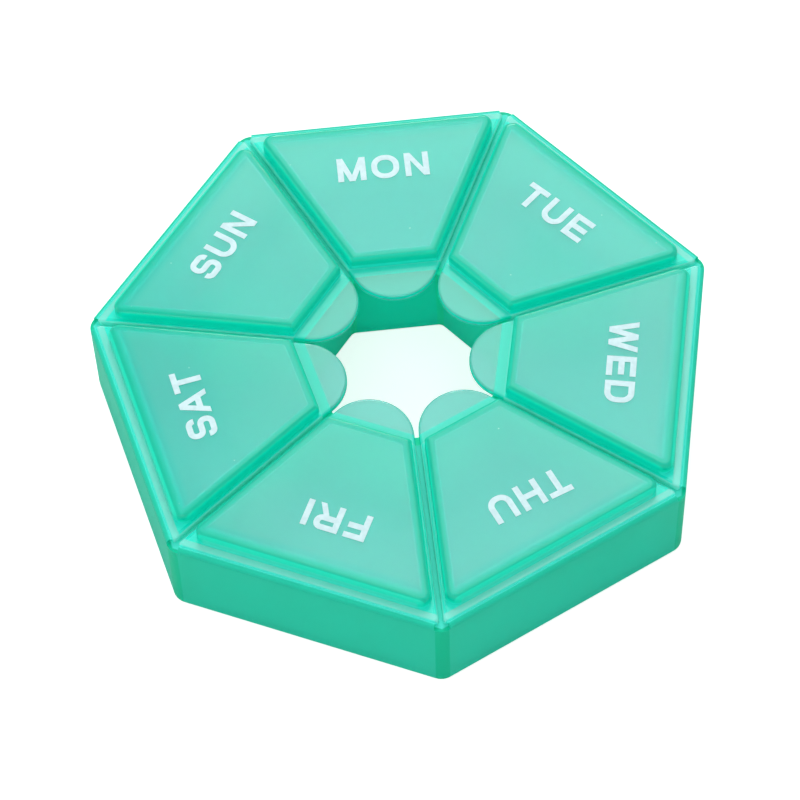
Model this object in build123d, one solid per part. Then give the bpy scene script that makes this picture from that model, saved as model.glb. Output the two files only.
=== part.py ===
from build123d import *
from math import atan, cos, degrees, radians, sin, tan
import os

os.makedirs("parts", exist_ok=True)

# Sizes of the whole box, in millimetres.
days = ("mon", "tue", "wed", "thu", "fri", "sat", "sun")
side_length = 50.0
tray_height = 17.75
outer_corner_radius = 3.0
base_edge_radius = 1.0

# Walls and floor of the tray.
floor_thickness = 1.2
outer_wall_thickness = 1.5
divider_thickness = 1.5

# Centre hole, which the finger reaches through. It is a little wider at the base.
hole_rim_apothem = 16.4
hole_base_apothem = 17.2
hole_corner_radius = 1.5
hole_mouth_radius = 0.5

# Compartments between the dividers.
pocket_inner_reach = 18.4
pocket_outer_corner_radius = 2.6
pocket_inner_corner_radius = 1.2
pocket_floor_radius = 1.0

# Round mark that the ejector pin leaves in each compartment floor.
pin_mark_radius = 2.3
pin_mark_depth = 0.15
pin_mark_out = 37.3
pin_mark_aside = 10.9

# Flange of each lid, with its round finger end.
seat_gap = 0.15
flange_thickness = 1.1
lid_gap = 0.8
lid_edge_inset = 0.8
finger_tip_reach = 11.5
flange_corner_radius = 0.8
flange_edge_radius = 0.45

# Raised panel of each lid and the plug rim below it, one continuous wall.
panel_rise = 2.35
panel_wall_thickness = 1.1
panel_top_thickness = 1.0
panel_side_margin = 0.75
panel_outer_margin = 1.65
panel_inner_reach = 18.76
panel_outer_corner_radius = 2.0
panel_inner_corner_radius = 0.6
panel_edge_radius = 0.8
hollow_corner_radius = 0.4
plug_depth = 1.8
plug_lead_in = 0.3

# Small nubs on the inner end of the plug rim.
nub_radius = 0.5
nub_height = 0.2
nub_aside = 2.0
nub_level = 0.9

# Living hinge: a thin web that folds about the middle of the lid's outer edge.
web_radius = 0.35
web_thickness = 0.35
web_clearance = 0.05
web_end_setback = 1.6

# Printed day marks, plain block capitals whose tops face the outer edge.
mark_height = 5.3
mark_stroke = 1.08
mark_spacing = 1.05
mark_middle_reach = 39.1
ink_thickness = 0.08
ink_clearance = 0.01

# Shares of the mark's height: each letter's width, how far each print sits from the middle of its
# lid (along the word and towards the edge), the level of the bar in the A and the bowl of the R.
letter_width_shares = {
    "M": 0.99, "O": 0.97, "N": 0.84, "T": 0.82, "U": 0.84, "E": 0.78, "W": 1.23,
    "D": 0.86, "F": 0.74, "R": 0.87, "I": 0.21, "S": 0.81, "A": 0.95, "H": 0.83,
}
slip_shares = {
    "mon": (0.03, 0.01), "tue": (-0.12, 0.03), "wed": (0.05, -0.08), "thu": (-0.21, -0.08),
    "fri": (-0.21, -0.07), "sat": (0.03, 0.06), "sun": (0.08, 0.10),
}
crossbar_share = 0.22
bowl_share = 0.57

# Each print's turn on its lid in degrees, anticlockwise.
print_angle_degrees = {"mon": -0.7, "tue": 3.6, "wed": 0.8, "thu": -3.4, "fri": -0.2, "sat": -1.8, "sun": 0.9}

# Share of a letter's size that its corners are rounded by, of the spacing that some pairs close up,
# and of the full width that the short bar of E and F has.
round_share = 0.47
tuck_shares = {"SA": 0.45, "AT": 0.70, "TH": 0.30}
short_bar_share = 0.93

# Levels and reaches worked out from the sizes above.
sector = 360 / len(days)
half_angle = radians(sector / 2)
apothem = side_length / 2 / tan(half_angle)
flange_bottom = tray_height + seat_gap
flange_top = flange_bottom + flange_thickness
panel_top = flange_top + panel_rise
plug_bottom = flange_bottom - plug_depth
lid_edge_reach = apothem - lid_edge_inset
lid_side_clear = lid_gap / 2
panel_side_clear = lid_side_clear + panel_side_margin
panel_outer_reach = lid_edge_reach - panel_outer_margin
hinge_reach = lid_edge_reach + web_radius + web_clearance
hinge_level = flange_bottom + flange_thickness / 2
corner_round_reach = (apothem - outer_corner_radius) / cos(half_angle) + outer_corner_radius
# The origin lies under the middle of the footprint's box, and the box's own axis lies this far behind it.
axis_y = (corner_round_reach - apothem) / 2


def half_width(reach, side_clear):
    """Half the width of a wedge at a distance from the box's axis."""
    return reach * tan(half_angle) - side_clear / cos(half_angle)


def wedge(inner, outer, side_clear, inner_radius, outer_radius):
    """Wedge between two reaches, each side a clearance away from the plane between two days."""
    wide = half_width(outer, side_clear)
    slim = half_width(inner, side_clear)
    shape = Polygon((-slim, inner), (slim, inner), (wide, outer), (-wide, outer), align=None)
    shape = fillet(shape.vertices().group_by(Axis.Y)[-1], outer_radius)
    return fillet(shape.vertices().group_by(Axis.Y)[0], inner_radius)


def heptagon(reach):
    """Outline with one flat side for each day, at one reach from the axis."""
    corner = reach / cos(half_angle)
    turns = [half_angle + radians(sector) * day for day in range(len(days))]
    return Polygon(*[(-corner * sin(turn), corner * cos(turn)) for turn in turns], align=None)


def placed(shape, day):
    """Turn a piece made on the +Y side to its own day, clockwise from above, about the box's axis."""
    return Pos(0, axis_y, 0) * Rot(0, 0, -sector * day) * shape


def around(make):
    """One copy of a cutter for each day, about the box's axis."""
    return [Rot(0, 0, -sector * day) * make for day in range(len(days))]


# Compartment space, with a rounded floor edge and the pin's mark in the floor.
def pocket():
    plan = wedge(
        pocket_inner_reach,
        apothem - outer_wall_thickness,
        divider_thickness / 2,
        pocket_inner_corner_radius,
        pocket_outer_corner_radius,
    )
    space = extrude(Pos(0, 0, floor_thickness) * plan, tray_height - floor_thickness)
    space = fillet(space.edges().group_by(Axis.Z)[0], pocket_floor_radius)
    mark = Pos(pin_mark_aside, pin_mark_out, floor_thickness - pin_mark_depth)
    return space + mark * extrude(Circle(pin_mark_radius), 2 * pin_mark_depth)


# Tray with its seven compartments round the centre hole.
def tray():
    plan = heptagon(apothem)
    plan = fillet(plan.vertices(), outer_corner_radius)
    body = extrude(plan, tray_height)
    body = fillet(body.edges().group_by(Axis.Z)[0], base_edge_radius)
    draft = degrees(atan((hole_base_apothem - hole_rim_apothem) / tray_height))
    hole = extrude(heptagon(hole_base_apothem), tray_height, taper=draft)
    upright = [edge for edge in hole.edges() if edge.bounding_box().size.Z > tray_height / 2]
    body = body - fillet(upright, hole_corner_radius)
    mouth = body.faces().sort_by(Axis.Z)[0].inner_wires()[0].edges()
    body = fillet(mouth, hole_mouth_radius)
    return body - around(pocket())


# Lid flange: a wedge plate whose inner end is a round finger tongue over the centre hole.
def flange():
    tip_middle = (finger_tip_reach - lid_side_clear) / (1 - sin(half_angle))
    tip_radius = tip_middle - finger_tip_reach
    tangent_x = tip_radius * cos(half_angle)
    tangent_y = tip_middle - tip_radius * sin(half_angle)
    wide = half_width(lid_edge_reach, lid_side_clear)
    sides = Polyline(
        (-tangent_x, tangent_y),
        (-wide, lid_edge_reach),
        (wide, lid_edge_reach),
        (tangent_x, tangent_y),
    )
    tip = ThreePointArc((tangent_x, tangent_y), (0, finger_tip_reach), (-tangent_x, tangent_y))
    plan = make_face(sides + tip)
    plan = fillet(plan.vertices().group_by(Axis.Y)[-1], flange_corner_radius)
    plate = extrude(Pos(0, 0, flange_bottom) * plan, flange_thickness)
    return fillet(plate.edges().group_by(Axis.Z)[-1], flange_edge_radius)


# Lid: the flange, the raised panel and the plug rim below it, hollow from below, with two small
# nubs on the plug's inner end that click past the rim of the centre hole.
def lid():
    outside = wedge(
        panel_inner_reach,
        panel_outer_reach,
        panel_side_clear,
        panel_inner_corner_radius,
        panel_outer_corner_radius,
    )
    inside = wedge(
        panel_inner_reach + panel_wall_thickness,
        panel_outer_reach - panel_wall_thickness,
        panel_side_clear + panel_wall_thickness,
        hollow_corner_radius,
        panel_outer_corner_radius - panel_wall_thickness,
    )
    block = extrude(Pos(0, 0, plug_bottom) * outside, panel_top - plug_bottom)
    block = fillet(block.edges().group_by(Axis.Z)[-1], panel_edge_radius)
    block = chamfer(block.edges().group_by(Axis.Z)[0], plug_lead_in)
    for side in (-1, 1):
        nub = Sphere(nub_radius)
        nub_reach = panel_inner_reach - nub_height + nub_radius
        block += Pos(side * nub_aside, nub_reach, plug_bottom + nub_level) * nub
    hollow = extrude(Pos(0, 0, plug_bottom) * inside, panel_top - panel_top_thickness - plug_bottom)
    return flange() + block - hollow


# Hinge web: a bead on the fold line, standing on the tray's rim.
def hinge_web():
    half_length = side_length / 2 - web_end_setback
    section = Pos(hinge_reach, hinge_level) * Circle(web_radius)
    stem_height = hinge_level - tray_height
    stem = Pos(hinge_reach, tray_height + stem_height / 2) * Rectangle(web_thickness, stem_height)
    return extrude(Plane.YZ.offset(-half_length) * (section + stem), 2 * half_length)


def bar(left, bottom, width, height):
    """Straight block of ink from its lower left corner."""
    return Pos(left, bottom) * Rectangle(width, height, align=Align.MIN)


def slant(foot, head, top=mark_height):
    """Leaning stroke from the base line, cut level at both ends."""
    points = ((foot, 0), (foot + mark_stroke, 0), (head + mark_stroke, top), (head, top))
    return Polygon(*points, align=None)


def band(bottom, width, height, pick):
    """Closed band one stroke wide, whose picked corners are rounded."""
    radius = round_share * min(width, height)
    outer = bar(0, bottom, width, height)
    inner = bar(mark_stroke, bottom + mark_stroke, width - 2 * mark_stroke, height - 2 * mark_stroke)
    outer = fillet(pick(outer.vertices()), radius)
    return outer - fillet(pick(inner.vertices()), radius - mark_stroke)


def every(corners):
    return corners


def right_side(corners):
    return corners.group_by(Axis.X)[-1]


def low_side(corners):
    return corners.group_by(Axis.Y)[0]


# Strokes that make up one capital, in a cell that starts at zero and is one mark height tall.
def capital(letter):
    width = letter_width_shares[letter] * mark_height
    right = width - mark_stroke
    top = mark_height - mark_stroke
    stem = bar(0, 0, mark_stroke, mark_height)
    far_stem = bar(right, 0, mark_stroke, mark_height)
    roof = bar(0, top, width, mark_stroke)
    middle = bar(0, top / 2, width, mark_stroke)
    bowl = bowl_share * mark_height
    turn = (mark_height + mark_stroke) / 2
    if letter == "M":
        return stem + far_stem + slant(right / 2, 0) + slant(right / 2, right)
    if letter == "N":
        return stem + far_stem + slant(right, 0)
    if letter == "W":
        left_half = slant(right / 4, 0) + slant(right / 4, right / 2)
        return left_half + slant(3 * right / 4, right / 2) + slant(3 * right / 4, right)
    if letter == "A":
        crossbar = bar(mark_stroke, crossbar_share * mark_height, right - mark_stroke, mark_stroke)
        return slant(0, right / 2) + slant(right, right / 2) + crossbar
    if letter == "T":
        return roof + bar(right / 2, 0, mark_stroke, mark_height)
    if letter == "H":
        return stem + far_stem + middle
    if letter == "E":
        short = bar(0, top / 2, short_bar_share * width, mark_stroke)
        return stem + roof + short + bar(0, 0, width, mark_stroke)
    if letter == "F":
        return stem + roof + bar(0, top / 2, short_bar_share * width, mark_stroke)
    if letter == "O":
        return band(0, width, mark_height, every)
    if letter == "D":
        return band(0, width, mark_height, right_side)
    if letter == "U":
        return band(0, width, mark_height + mark_stroke, low_side) - bar(0, mark_height, width, mark_stroke)
    if letter == "R":
        leg = slant(right, right / 2, mark_height - bowl + mark_stroke)
        return stem + band(mark_height - bowl, width, bowl, right_side) + leg
    if letter == "S":
        upper = band(mark_height - turn, width, turn, every) - bar(width / 2, 0, width, mark_height - turn / 2)
        lower = band(0, width, turn, every) - bar(0, turn / 2, width / 2, turn)
        return upper + lower
    return stem


# One printed day mark, a thin skin of ink on the panel's top.
def legend(day_name):
    word = day_name.upper()
    along = 0
    letters = []
    for index, letter in enumerate(word):
        letters.append(Pos(along, 0) * capital(letter))
        gap = mark_spacing * (1 - tuck_shares.get(word[index : index + 2], 0))
        along += letter_width_shares[letter] * mark_height + gap
    width = along - mark_spacing
    aside, outward = slip_shares[day_name]
    ink_bottom = panel_top + ink_clearance
    middle = Pos(aside * mark_height, mark_middle_reach + outward * mark_height, ink_bottom)
    middle = middle * Rot(0, 0, print_angle_degrees[day_name])
    return extrude(middle * Pos(-width / 2, -mark_height / 2) * (Sketch() + letters), ink_thickness)


export_step(placed(tray(), 0), "parts/tray.step")
for day, day_name in enumerate(days):
    export_step(placed(lid(), day), f"parts/lid_{day_name}.step")
    export_step(placed(hinge_web(), day), f"parts/hinge_{day_name}.step")
    export_step(placed(legend(day_name), day), f"parts/legend_{day_name}.step")
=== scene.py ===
from math import cos, pi, radians, sin

import bpy
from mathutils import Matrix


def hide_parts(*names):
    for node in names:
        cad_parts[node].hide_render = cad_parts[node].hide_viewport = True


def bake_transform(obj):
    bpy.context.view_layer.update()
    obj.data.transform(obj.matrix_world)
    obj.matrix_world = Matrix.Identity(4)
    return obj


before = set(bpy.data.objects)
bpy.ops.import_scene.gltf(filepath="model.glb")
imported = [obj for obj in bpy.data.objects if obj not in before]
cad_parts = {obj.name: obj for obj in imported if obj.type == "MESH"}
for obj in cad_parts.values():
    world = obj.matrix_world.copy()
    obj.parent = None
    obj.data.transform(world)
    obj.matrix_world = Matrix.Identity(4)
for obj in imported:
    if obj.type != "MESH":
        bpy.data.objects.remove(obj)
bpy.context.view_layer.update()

# Camera: about 0.6 m away, before and above the front corner and a little to its left, with a
# long lens, so that the near and far sides look almost the same size.
camera_data = bpy.data.cameras.new("photo_camera")
camera_data.sensor_width = 36
camera_data.lens = 150.5
camera = bpy.data.objects.new("photo_camera", camera_data)
camera.location = (-0.02677, -0.32862, 0.51641)
camera.rotation_euler = (radians(32.86803), radians(1.16661), radians(-6.19531))
bpy.context.scene.collection.objects.link(camera)
bpy.context.scene.camera = camera
bpy.context.scene.view_settings.view_transform = "Standard"

# Floor: a plain white table top. It shows white to the eye, and the box leaves its soft green
# shade on it.
millimetre = 0.001
floor_size = 6.0
floor_level = -0.02 * millimetre
straight_glow = 0.68
inner_glow = 0.05
table_grey = (0.65, 0.65, 0.65, 1)
white = (1, 1, 1, 1)


class Wire:
    """One output of a shader node. Sums on wires and numbers add Math nodes."""

    def __init__(self, tree, socket=None):
        self.tree = tree
        self.socket = socket

    def node(self, kind, settings=None, sockets=None, out=0):
        """Adds a node: its settings first, then the values or wires of its sockets."""
        made = self.tree.nodes.new(kind)
        for name, value in (settings or {}).items():
            setattr(made, name, value)
        for name, value in (sockets or {}).items():
            if isinstance(value, Wire):
                self.tree.links.new(value.socket, made.inputs[name])
            else:
                made.inputs[name].default_value = value
        return Wire(self.tree, made.outputs[out] if made.outputs else None)

    def maths(self, operation, *values):
        """Adds a Math node over wires and numbers."""
        return self.node("ShaderNodeMath", {"operation": operation}, dict(enumerate(values)))

    def __add__(self, other):
        return self.maths("ADD", self, other)

    def __sub__(self, other):
        return self.maths("SUBTRACT", self, other)

    def __mul__(self, other):
        return self.maths("MULTIPLY", self, other)

    def __truediv__(self, other):
        return self.maths("DIVIDE", self, other)

    def __rsub__(self, other):
        return self.maths("SUBTRACT", other, self)

    def __rtruediv__(self, other):
        return self.maths("DIVIDE", other, self)

    __radd__ = __add__
    __rmul__ = __mul__

    def between(self, low, high):
        """0 below low, 1 above high and a soft step between; the other way round if low > high."""
        return self.node("ShaderNodeMapRange", {"interpolation_type": "SMOOTHSTEP"}, {
            "Value": self, "From Min": low, "From Max": high,
        })


def new_tree(owner):
    """Empties a material's or world's nodes and gives the wire that starts them."""
    owner.use_nodes = True
    owner.node_tree.nodes.clear()
    return Wire(owner.node_tree)


def ray_kinds(start):
    """Three wires that are 1 for what is seen straight, mirrored or through the plastic."""
    return [
        start.node("ShaderNodeLightPath", out=f"Is {kind} Ray")
        for kind in ("Camera", "Glossy", "Transmission")
    ]


bpy.ops.object.select_all(action="DESELECT")
bpy.ops.mesh.primitive_plane_add(size=floor_size, location=(0, 0, floor_level))
floor = bpy.context.object
floor.name = "floor"
floor_material = bpy.data.materials.new("white_table")
start = new_tree(floor_material)
seen, mirrored, seen_through = ray_kinds(start)
matt = start.node("ShaderNodeBsdfDiffuse", sockets={"Color": table_grey})
glow = start.node("ShaderNodeEmission", sockets={
    "Color": white,
    "Strength": seen * straight_glow + mirrored * inner_glow + seen_through * inner_glow,
})
surface = start.node("ShaderNodeAddShader", sockets={0: matt, 1: glow})
start.node("ShaderNodeOutputMaterial", sockets={"Surface": surface})
floor.data.materials.append(floor_material)

# Light: a white studio tent. A soft box hangs over the back and a stronger lamp stands further
# behind, where their glow lies on the flat lids and throws the day marks' shade on the walls. Two
# weak panels lift the left side and the front.
tent_strength = 0.85


def greater(first, second):
    """The greater of two wires, such as the shares of two zones that overlap."""
    return first.maths("MAXIMUM", first, second)


world = bpy.data.worlds.new("studio_tent")
bpy.context.scene.world = world
start = new_tree(world)
seen, mirrored, seen_through = ray_kinds(start)
shown = greater(greater(seen, mirrored), seen_through)
tent = start.node("ShaderNodeBackground", sockets={
    "Color": white,
    "Strength": shown * (1 - tent_strength) + tent_strength,
})
start.node("ShaderNodeOutputWorld", sockets={"Surface": tent})


def hang_lamp(name, size, power, place, turn):
    """Adds one square soft lamp, turned in degrees."""
    lamp_data = bpy.data.lights.new(name, "AREA")
    lamp_data.shape = "SQUARE"
    lamp_data.size = size
    lamp_data.energy = power
    lamp = bpy.data.objects.new(name, lamp_data)
    lamp.location = place
    lamp.rotation_euler = [radians(angle) for angle in turn]
    bpy.context.scene.collection.objects.link(lamp)


hang_lamp("soft_box", size=0.24, power=0.5, place=(0.07, 0.45, 0.7), turn=(-33, 6, 0))
hang_lamp("back_lamp", size=0.25, power=3.2, place=(0.088, 0.838, 0.707), turn=(-50, 7, 0))
hang_lamp("side_panel", size=0.5, power=0.9, place=(-0.8, 0.0, 0.35), turn=(0, -66, 0))
hang_lamp("front_panel", size=0.4, power=0.8, place=(-0.2, -0.5, 0.6), turn=(40, 0, 0))

# Tray: one injection-moulded piece of mint polypropylene, seven wedge cups round the finger
# hole. The plastic is cloudy, and its colour deepens where the walls meet at the corners.
days = ("mon", "tue", "wed", "thu", "fri", "sat", "sun")
sector = 2 * pi / len(days)
centre_y = 2.688 * millimetre
refraction = 1.49
smear_roughness = 0.1
plastic_tint = (0.0, 0.995, 0.96, 1.0)
tint_density = 850.0


def wedge_place(place):
    """How far a point lies out along its wedge and in from the wedge's side, and its level, in mm."""
    centred = place.node("ShaderNodeMapping", sockets={
        "Vector": place,
        "Location": (0, -centre_y / millimetre, 0),
        "Scale": [1 / millimetre] * 3,
    })
    across, along, level = [
        place.node("ShaderNodeSeparateXYZ", sockets={0: centred}, out=axis) for axis in "XYZ"
    ]
    reach = place.maths("SQRT", across * across + along * along)
    wedges_round = place.maths("ARCTAN2", across, along) / sector
    swing = (place.maths("FRACT", wedges_round + 0.5) - 0.5) * sector
    out = reach * place.maths("COSINE", swing)
    aside = reach * place.maths("ABSOLUTE", place.maths("SINE", swing))
    side_gap = out * sin(sector / 2) - aside * cos(sector / 2)
    return out, side_gap, level


def mixed(share, first, second):
    """The first colour where share is 0 and the second where it is 1."""
    return share.node("ShaderNodeMix", {"data_type": "RGBA"}, {
        "Factor": share,
        "A": first if isinstance(first, Wire) else [*first, 1.0],
        "B": second if isinstance(second, Wire) else [*second, 1.0],
    }, out="Result")


def plastic(name, roughness, shine, through_share, through_colour, cloud_of):
    """Clear mint plastic, with the milky cloud in it that cloud_of paints."""
    material = bpy.data.materials.new(name)
    start = new_tree(material)
    place = start.node("ShaderNodeTexCoord", out="Object")
    smears = start.node("ShaderNodeTexNoise", sockets={
        "Vector": place, "Scale": 60.0, "Detail": 4.0, "Roughness": 0.6,
    })
    ripple = start.node("ShaderNodeTexNoise", sockets={
        "Vector": place, "Scale": 140.0, "Detail": 2.0,
    })
    bump = start.node("ShaderNodeBump", sockets={
        "Height": ripple, "Strength": 0.05, "Distance": 0.6 * millimetre,
    })
    gloss = smears * smear_roughness + roughness
    cloud, cloud_share = cloud_of(place, smears, *wedge_place(place))
    clear = start.node("ShaderNodeBsdfPrincipled", sockets={
        "Base Color": white,
        "Roughness": gloss,
        "IOR": refraction,
        "Transmission Weight": 1.0,
        "Normal": bump,
    })
    lit = start.node("ShaderNodeBsdfPrincipled", sockets={
        "Base Color": cloud,
        "Roughness": gloss,
        "IOR": refraction,
        "Specular IOR Level": shine,
        "Normal": bump,
    })
    glowing = start.node("ShaderNodeBsdfTranslucent", sockets={"Color": [*through_colour, 1.0]})
    haze = start.node("ShaderNodeMixShader", sockets={0: through_share, 1: lit, 2: glowing})
    body = start.node("ShaderNodeMixShader", sockets={0: cloud_share, 1: clear, 2: haze})
    inside = start.node("ShaderNodeVolumeAbsorption", sockets={
        "Color": plastic_tint, "Density": tint_density,
    })
    start.node("ShaderNodeOutputMaterial", sockets={"Surface": body, "Volume": inside})
    return material


def tray_cloud(place, smears, out, side_gap, level):
    """Bright inside the cups, greener on the outer walls and deep green at their corners."""
    cup_rim, cup_foot = (0.1, 1.0, 0.88), (0.35, 1.0, 0.97)
    dull_floor, bright_floor = (0.5, 1.0, 0.94), (0.62, 1.0, 0.97)
    dull_wall, bright_wall = (0.018, 0.66, 0.465), (0.022, 0.7, 0.505)
    wall_corner_green = (0.0, 0.6, 0.36)
    hole_green, hole_corner_green = (0.0, 1.0, 0.76), (0.0, 1.0, 0.62)
    wall_milk, corner_milk = 0.91, 0.97

    smeared = smears.between(0.3, 0.7)
    on_outside = out.between(51.0, 51.4)
    wall_corner = on_outside * side_gap.between(1.4, 1.1)
    hole_corner = out.between(17.9, 17.6) * side_gap.between(0.8, 0.5)
    in_cups = mixed(level.between(14.0, 2.0), cup_rim, cup_foot)
    in_cups = mixed(level.between(2.2, 1.7), in_cups, mixed(smeared, dull_floor, bright_floor))
    cloud = mixed(on_outside, in_cups, mixed(smeared, dull_wall, bright_wall))
    cloud = mixed(out.between(17.7, 17.4), cloud, hole_green)
    cloud = mixed(wall_corner, cloud, wall_corner_green)
    cloud = mixed(hole_corner, cloud, hole_corner_green)
    return cloud, wall_corner * (corner_milk - wall_milk) + wall_milk


def dress(node_name, material):
    """Gives a carried-over piece its finish, in every slot that it has."""
    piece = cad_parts[node_name]
    for index in range(len(piece.data.materials)):
        piece.data.materials[index] = material


tray_plastic = plastic(
    "tray_plastic", roughness=0.35, shine=0.12,
    through_share=0.3, through_colour=(0.03, 0.99, 0.83), cloud_of=tray_cloud,
)
dress("tray", tray_plastic)


# Lids: seven alike, moulded in one shot with the tray, and clearer and glossier than it. Each is a
# thin flange with a raised panel, a plug rim below and a round finger end over the hole.
def lid_cloud(place, smears, out, side_gap, level):
    """Milky flange, emerald panel walls, and clearer windows and finger ends, with painted highlights
    along the flange's side edges and at the foot of the panel walls, and painted light on the outer
    half of each window.
    """
    dull_flange, bright_flange = (0.3, 0.97, 0.9), (0.34, 1.0, 0.94)
    flange_edge = (0.06, 1.0, 0.86)
    side_foot, side_edge_highlight = (0.0, 1.0, 0.85), (0.25, 1.0, 0.92)
    wall_green, tip_wall_green = (0.004, 0.88, 0.62), (0.004, 0.7, 0.48)
    pale_wall = (0.04, 1.0, 0.86)
    border_green, inner_border_green = (0.0, 0.56, 0.39), (0.02, 0.61, 0.47)
    deep_pane, pale_pane = (0.05, 1.0, 0.9), (0.13, 1.0, 0.96)
    painted_light_outer_pane, pane_end = (0.17, 1.0, 0.96), (0.08, 1.0, 0.93)
    finger_grey, finger_green = (0.25, 0.8, 0.77), (0.05, 0.9, 0.77)
    finger_rim_green = (0.0, 0.85, 0.66)
    dust_white = (0.6, 1.0, 1.0)
    flange_milk, wall_milk, dust_milk = 0.8, 0.94, 0.9
    window_clear, painted_light_outer_milk, underside_clear, finger_clear = 0.57, 0.02, 0.32, 0.4

    def inset(side, tip, outer):
        """A wedge set in from the sides, the tip and the outer edge, with soft borders."""
        return side_gap.between(*side) * out.between(*tip) * out.between(*outer)

    along_sides = out.between(49.7, 49.2) * out.between(18.3, 18.7)
    flange = mixed(smears.between(0.3, 0.7), dull_flange, bright_flange)
    flange = mixed(out.between(50.5, 50.9), flange, flange_edge)
    # Along the sides, the rounded top edge of the flange next to the gap is painted lighter: a
    # painted highlight.
    flange = mixed(along_sides, flange, mixed(side_gap.between(0.7, 0.55), side_foot, side_edge_highlight))

    in_panel = inset((1.1, 1.25), (18.65, 18.8), (49.55, 49.4))
    inner_face = inset((1.6, 1.8), (19.2, 19.4), (49.05, 48.8))
    inner_face = inner_face * greater(level.between(19.0, 16.3), out.between(20.8, 20.2))
    # The lowest band of the panel walls, just above the flange, is painted pale: a painted highlight.
    foot_highlight = level.between(19.8, 19.5) * level.between(18.7, 18.9)
    wall = mixed(out.between(19.5, 19.3), wall_green, tip_wall_green)
    wall = mixed(greater(inner_face, foot_highlight), wall, pale_wall)
    cloud = mixed(in_panel, flange, wall)

    finger_end = out.between(18.7, 18.3)
    over_rim = out.between(16.4, 16.8)
    finger_rim = level.between(18.9, 18.75) * level.between(18.1, 18.3)
    finger = mixed(over_rim, finger_grey, finger_green)
    finger = mixed(finger_rim, finger, finger_rim_green)
    cloud = mixed(finger_end, cloud, finger)

    pane_top = level.between(20.2, 20.3) * (side_gap - out).between(-46.8, -46.2)
    border = inset((1.2, 1.6), (19.1, 19.5), (49.05, 48.8))
    border_inside = inset((1.8, 2.4), (19.4, 20.0), (48.6, 48.0))
    border_tone = mixed(border_inside, border_green, inner_border_green)
    cloud = mixed(border * pane_top, cloud, border_tone)

    drift = place.node("ShaderNodeTexNoise", sockets={
        "Vector": place, "Scale": 28.0, "Detail": 1.0,
    })
    window = inset((2.4, 3.1), (20.0, 20.7), (48.2, 46.8)) * pane_top
    # The outer half of each window is painted lighter and a little milkier: painted light that lifts
    # the shade seen through the window over the cup's outer part.
    painted_light_outer_half = out.between(32.0, 43.0)
    pane = mixed(drift.between(0.35, 0.65), deep_pane, pale_pane)
    pane = mixed(painted_light_outer_half, pane, painted_light_outer_pane)
    pane = mixed(out.between(45.3, 47.3), pane, pane_end)
    cloud = mixed(window, cloud, pane)

    dust_cells = place.node("ShaderNodeTexVoronoi", {"voronoi_dimensions": "2D"}, {
        "Vector": place, "Scale": 42.0,
    })
    speck_edge, speck_core, speck_share = 0.0085, 0.004, 0.6
    dust = dust_cells.between(speck_edge, speck_core) * window * speck_share
    cloud = mixed(dust, cloud, dust_white)

    underside = level.between(21.0, 20.6)
    clearer = greater(
        window * (underside * underside_clear + window_clear - painted_light_outer_half * painted_light_outer_milk),
        finger_end * (1 - greater(over_rim, finger_rim)) * finger_clear,
    )
    milk = in_panel * (wall_milk - flange_milk) + flange_milk - clearer
    return cloud, greater(milk, dust * dust_milk)


lid_plastic = plastic(
    "lid_plastic", roughness=0.08, shine=0.35,
    through_share=0.35, through_colour=(0.01, 0.99, 0.88), cloud_of=lid_cloud,
)
for day in days:
    dress(f"lid_{day}", lid_plastic)

# Hinges: the film of the same plastic that joins each lid to the top of its wall. It rises from
# the wall, bends inwards over the gap and ends on the edge of the lid.
film_length = 46.8 * millimetre
film_thickness = 0.28 * millimetre
film_y = centre_y + 51.74 * millimetre
film_foot = 17.7 * millimetre
bend_y = centre_y + 51.2 * millimetre
bend_level = 18.1 * millimetre
bend_steps = 8
lid_edge_y = centre_y + 50.9 * millimetre
stem_height = bend_level - film_foot


def turned(turn, y, z):
    """A point over the middle of Monday's hinge, carried round the box's centre."""
    return (-sin(turn) * (y - centre_y), centre_y + cos(turn) * (y - centre_y), z)


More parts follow.
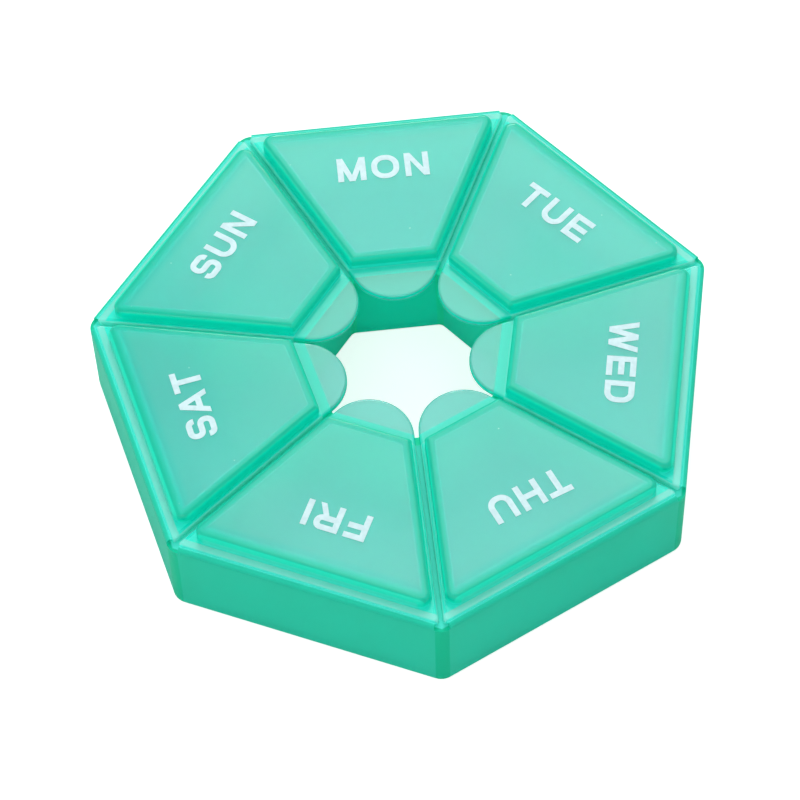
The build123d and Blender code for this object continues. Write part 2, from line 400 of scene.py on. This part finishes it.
bpy.ops.object.select_all(action="DESELECT")
bpy.ops.mesh.primitive_cube_add(
    size=1,
    location=(0, film_y, film_foot + stem_height / 2),
    scale=(film_length, film_thickness, stem_height),
)
film = bpy.context.object
bpy.ops.object.transform_apply(location=True, rotation=True, scale=True)
bpy.ops.object.mode_set(mode="EDIT")
bpy.ops.mesh.select_all(action="DESELECT")
bpy.ops.object.mode_set(mode="OBJECT")
for corner in film.data.vertices:
    corner.select = corner.co.z > bend_level - film_thickness
bpy.ops.object.mode_set(mode="EDIT")
bpy.ops.mesh.spin(
    steps=bend_steps, angle=radians(-90), center=(0, bend_y, bend_level), axis=(1, 0, 0),
)
bpy.ops.mesh.extrude_region_move(TRANSFORM_OT_translate={"value": (0, lid_edge_y - bend_y, 0)})
bpy.ops.mesh.select_all(action="SELECT")
bpy.ops.mesh.remove_doubles(threshold=0.0001 * millimetre)
bpy.ops.mesh.normals_make_consistent(inside=False)
bpy.ops.object.mode_set(mode="OBJECT")
bpy.ops.object.shade_smooth_by_angle(angle=radians(30))
film.data.materials.append(tray_plastic)
for number, day in enumerate(days):
    turn = -number * sector
    piece = film.copy()
    piece.data = film.data.copy()
    piece.name = f"hinge_film_{day}"
    bpy.context.scene.collection.objects.link(piece)
    piece.location = turned(turn, 0, 0)
    piece.rotation_euler = (0, 0, turn)
    bpy.ops.object.select_all(action="DESELECT")
    piece.select_set(True)
    bpy.context.view_layer.objects.active = piece
    bpy.ops.object.transform_apply(location=True, rotation=True, scale=True)
    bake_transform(piece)
    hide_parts(f"hinge_{day}")
bpy.data.objects.remove(film)

# Day marks: three letters of white ink on each lid, a thin skin that is pad-printed flat on the
# raised panel. The ink has a faint grain.
thin_ink, full_ink = (0.5, 0.69, 0.72), (0.57, 0.76, 0.79)
ink = bpy.data.materials.new("white_print")
start = new_tree(ink)
place = start.node("ShaderNodeTexCoord", out="Object")
grain = start.node("ShaderNodeTexNoise", sockets={"Vector": place, "Scale": 900.0, "Detail": 2.0})
printed = start.node("ShaderNodeBsdfPrincipled", sockets={
    "Base Color": mixed(grain.between(0.35, 0.65), thin_ink, full_ink),
    "Roughness": grain * 0.2 + 0.4,
})
start.node("ShaderNodeOutputMaterial", sockets={"Surface": printed})
for day in days:
    dress(f"legend_{day}", ink)
